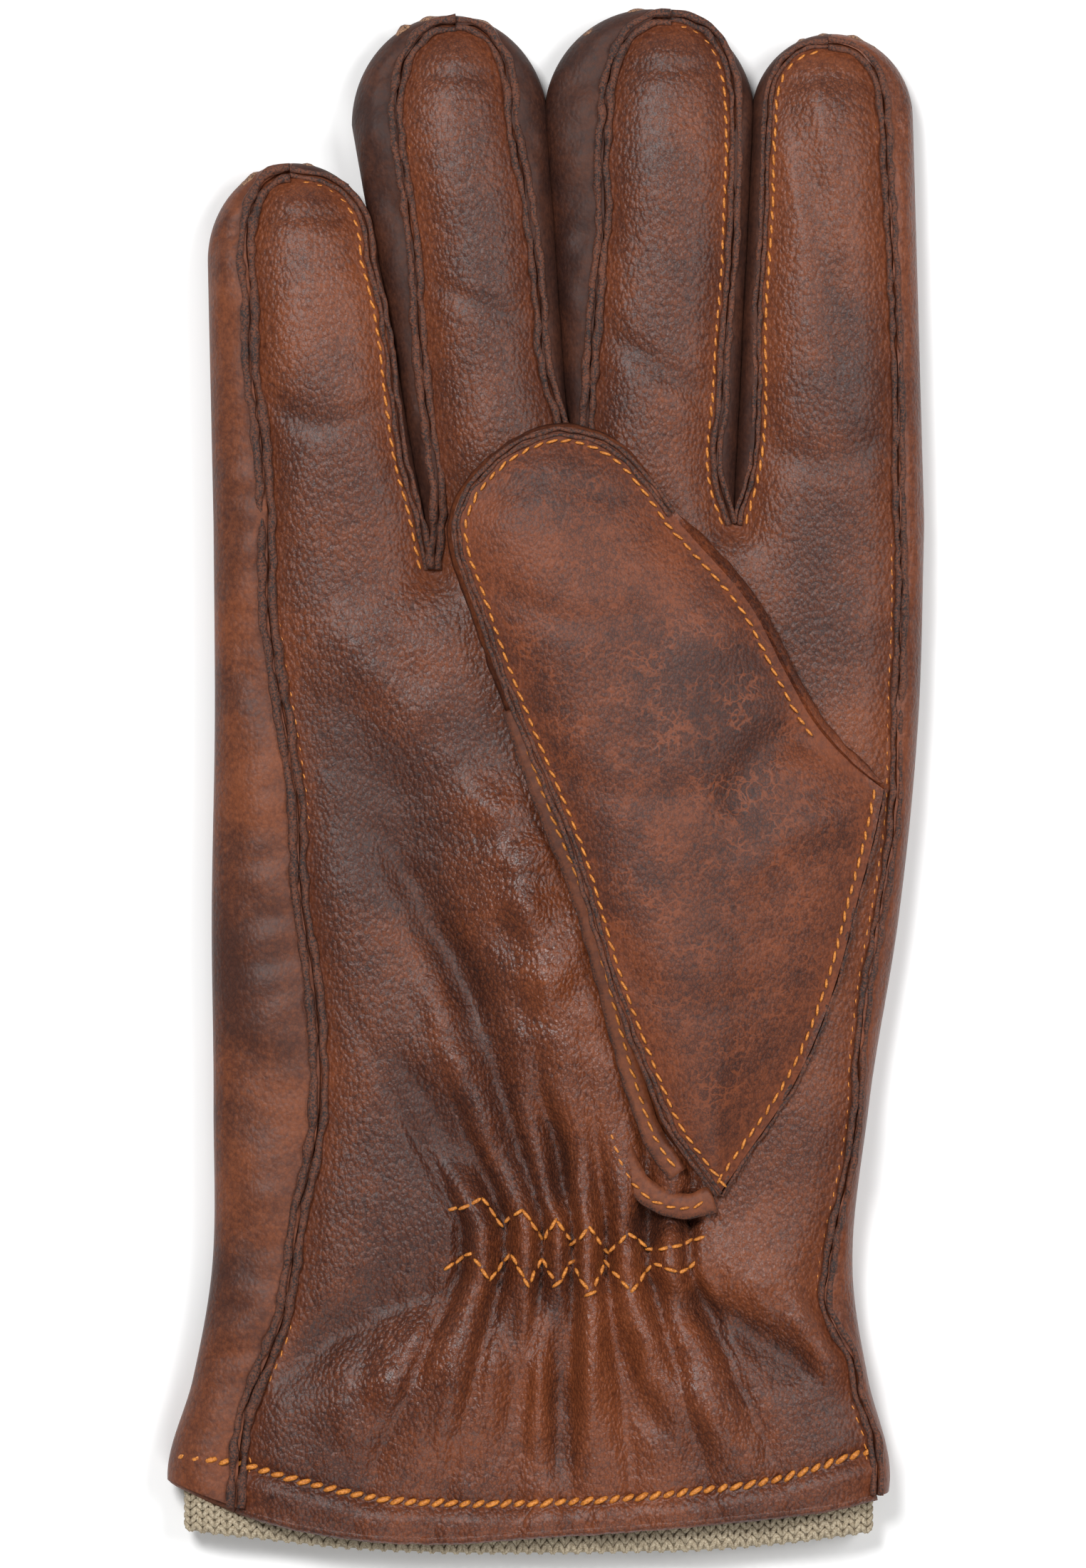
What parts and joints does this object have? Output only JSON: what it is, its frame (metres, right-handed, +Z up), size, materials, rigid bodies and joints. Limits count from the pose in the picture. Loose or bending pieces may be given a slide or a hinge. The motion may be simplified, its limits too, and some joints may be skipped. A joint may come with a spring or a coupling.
{
  "type": "lined leather glove",
  "caption": "Right-hand lined leather dress glove, palm up with the thumb folded over the palm, gathered at the wrist; the fingers curl and the thumb lifts.",
  "frame": {"origin": "centre of the glove's outline on the flat underside of its back panel", "axes": "+Z up out of the palm, +Y from the cuff to the fingertips, +X from the little-finger side to the thumb side"},
  "size_m": [0.1214, 0.25, 0.0247],
  "materials": {
    "leather": "burnished brown nappa leather with a fine grain, darker in the folds, satin gloss",
    "knit": "soft beige wool-blend knit, matt",
    "thread": "orange-tan polyester sewing thread, slight sheen",
    "elastic": "off-white woven elastic tape, matt"
  },
  "bodies": {
    "hand": {"back_panel": "leather", "elastic_tape": "elastic", "fourchette_index_middle": "leather", "fourchette_middle_ring": "leather", "fourchette_ring_little": "leather", "knit_lining": "knit", "knit_lining_cuff_rib": "knit", "little_side_strip": "leather", "palm_panel": "leather", "thread_elastic_lower": "thread", "thread_elastic_upper": "thread", "thread_hem": "thread", "thread_index_left": "thread", "thread_index_side": "thread", "thread_little_right": "thread", "thread_middle_left": "thread", "thread_middle_right": "thread", "thread_ring_left": "thread", "thread_ring_right": "thread", "thread_side_strip_back": "thread", "thread_side_strip_palm": "thread", "thread_thumb_base": "thread", "thread_thumb_quirk": "thread", "thumb_quirk_strip": "leather"},
    "little_finger": {"back_panel_little_end": "leather", "fourchette_ring_little_little_end": "leather", "knit_lining_little_end": "knit", "little_side_strip_little_end": "leather", "palm_panel_little_end": "leather", "thread_little_right_little_end": "thread", "thread_side_strip_back_little_end": "thread", "thread_side_strip_palm_little_end": "thread"},
    "ring_finger": {"back_panel_ring_end": "leather", "fourchette_middle_ring_ring_end": "leather", "fourchette_ring_little_ring_end": "leather", "knit_lining_ring_end": "knit", "palm_panel_ring_end": "leather", "thread_ring_left_ring_end": "thread", "thread_ring_right_ring_end": "thread"},
    "middle_finger": {"back_panel_middle_end": "leather", "fourchette_index_middle_middle_end": "leather", "fourchette_middle_ring_middle_end": "leather", "knit_lining_middle_end": "knit", "palm_panel_middle_end": "leather", "thread_middle_left_middle_end": "thread", "thread_middle_right_middle_end": "thread"},
    "index_finger": {"back_panel_index_end": "leather", "fourchette_index_middle_index_end": "leather", "knit_lining_index_end": "knit", "palm_panel_index_end": "leather", "thread_index_left_index_end": "thread", "thread_index_side_index_end": "thread"},
    "thumb": {"knit_lining_thumb": "knit", "thread_thumb_outline": "thread", "thumb_back_panel": "leather", "thumb_front_panel": "leather", "thumb_gusset": "leather"}
  },
  "joints": [
    {"name": "little_curl", "type": "hinge", "parent": "hand", "child": "little_finger", "pos_m": [-0.03808, 0.058, 0.0085], "axis": [1, 0, 0], "range_deg": [0, 80]},
    {"name": "ring_curl", "type": "hinge", "parent": "hand", "child": "ring_finger", "pos_m": [-0.01166, 0.075, 0.0085], "axis": [1, 0, 0], "range_deg": [0, 80]},
    {"name": "middle_curl", "type": "hinge", "parent": "hand", "child": "middle_finger", "pos_m": [0.01721, 0.072, 0.0085], "axis": [1, 0, 0], "range_deg": [0, 80]},
    {"name": "index_curl", "type": "hinge", "parent": "hand", "child": "index_finger", "pos_m": [0.0459, 0.072, 0.0085], "axis": [1, 0, 0], "range_deg": [0, 80]},
    {"name": "thumb_lift", "type": "hinge", "parent": "hand", "child": "thumb", "pos_m": [0.0458, -0.0363, 0.0129], "axis": [0.3981, 0.9173, 0], "range_deg": [0, 90]}
  ]
}
